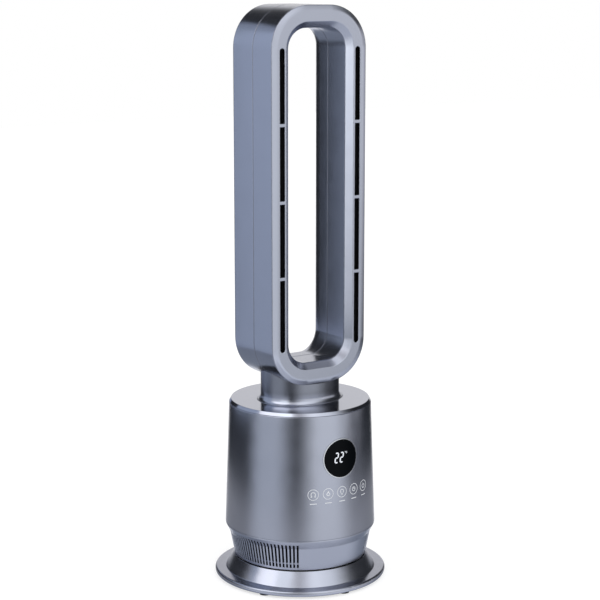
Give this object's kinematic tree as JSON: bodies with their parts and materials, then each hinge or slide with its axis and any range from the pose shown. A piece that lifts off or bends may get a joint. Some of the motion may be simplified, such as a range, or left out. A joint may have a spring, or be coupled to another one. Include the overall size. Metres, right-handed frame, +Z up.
{
  "type": "bladeless fan heater",
  "caption": "Free-standing bladeless fan heater: a tall rounded air loop with slotted front on an oval neck, over a tapered fan body with round display that swings on a flared base.",
  "frame": {"origin": "on the floor under the swivel axis, at the middle of the base's bottom", "axes": "+Z up, the front with the outlets and the display faces -Y, +X is the heater's left-hand side"},
  "size_m": [0.25, 0.25, 0.826],
  "materials": {
    "satin_paint": "metallic satin paint",
    "steel_plate": "black powder coat",
    "ballast_iron": "as cast",
    "black_rubber": "matte",
    "screw_steel": "zinc plated",
    "turned_steel": "turned",
    "white_acetal": "moulded",
    "bronze_bush": "sintered",
    "black_plastic": "fine grain",
    "motor_steel": "plated",
    "motor_alloy": "cast",
    "grey_plastic": "moulded",
    "dark_window": "polished",
    "bright_trim": "polished",
    "circuit_board": "solder mask",
    "heater_fins": "bare",
    "cutout_steel": "plated"
  },
  "bodies": {
    "base": {"base_cover": "satin_paint", "base_plate": "steel_plate", "ballast_ring": "ballast_iron", "rubber_feet": "black_rubber", "base_screws": "screw_steel", "cord_gland": "black_rubber", "pivot_post": "turned_steel", "retaining_washer": "turned_steel", "swivel_bearing": "white_acetal", "fixed_gear": "white_acetal"},
    "tower": {"turntable": "black_plastic", "swivel_bush": "bronze_bush", "stepper_motor": "motor_steel", "stepper_screws": "screw_steel", "turntable_screws": "screw_steel", "tilt_switch": "black_plastic", "intake_grille": "satin_paint", "barrel": "satin_paint", "top_cap": "satin_paint", "fan_duct": "black_plastic", "duct_seal": "black_rubber", "diffuser": "black_plastic", "motor_cushion": "black_rubber", "fan_motor": "motor_alloy", "display_lens": "dark_window", "display_rim": "bright_trim", "display_housing": "black_plastic", "display_board": "circuit_board", "touch_board": "circuit_board", "control_board": "circuit_board", "neck_collar": "satin_paint", "loop_rear_shell": "satin_paint", "loop_front_shell": "satin_paint", "front_bezel": "satin_paint", "heater_left": "heater_fins", "heater_right": "heater_fins", "thermal_cutouts": "cutout_steel"},
    "rotor": {"impeller": "grey_plastic", "motor_shaft": "turned_steel"},
    "pinion": {"oscillation_pinion": "white_acetal"}
  },
  "joints": [
    {"name": "oscillation", "type": "hinge", "parent": "base", "child": "tower", "pos_m": [0, 0, 0.0325], "axis": [0, 0, 1], "range_deg": [-40, 40]},
    {"name": "impeller_spin", "type": "hinge", "parent": "tower", "child": "rotor", "pos_m": [0, 0, 0.104], "axis": [0, 0, 1], "continuous": true},
    {"name": "pinion_spin", "type": "hinge", "parent": "tower", "child": "pinion", "pos_m": [0, 0.045, 0.025], "axis": [0, 0, 1], "range_deg": [-160, 160]}
  ],
  "couplings": [
    {"joint": "pinion_spin", "follows": "oscillation", "ratio": 4}
  ]
}
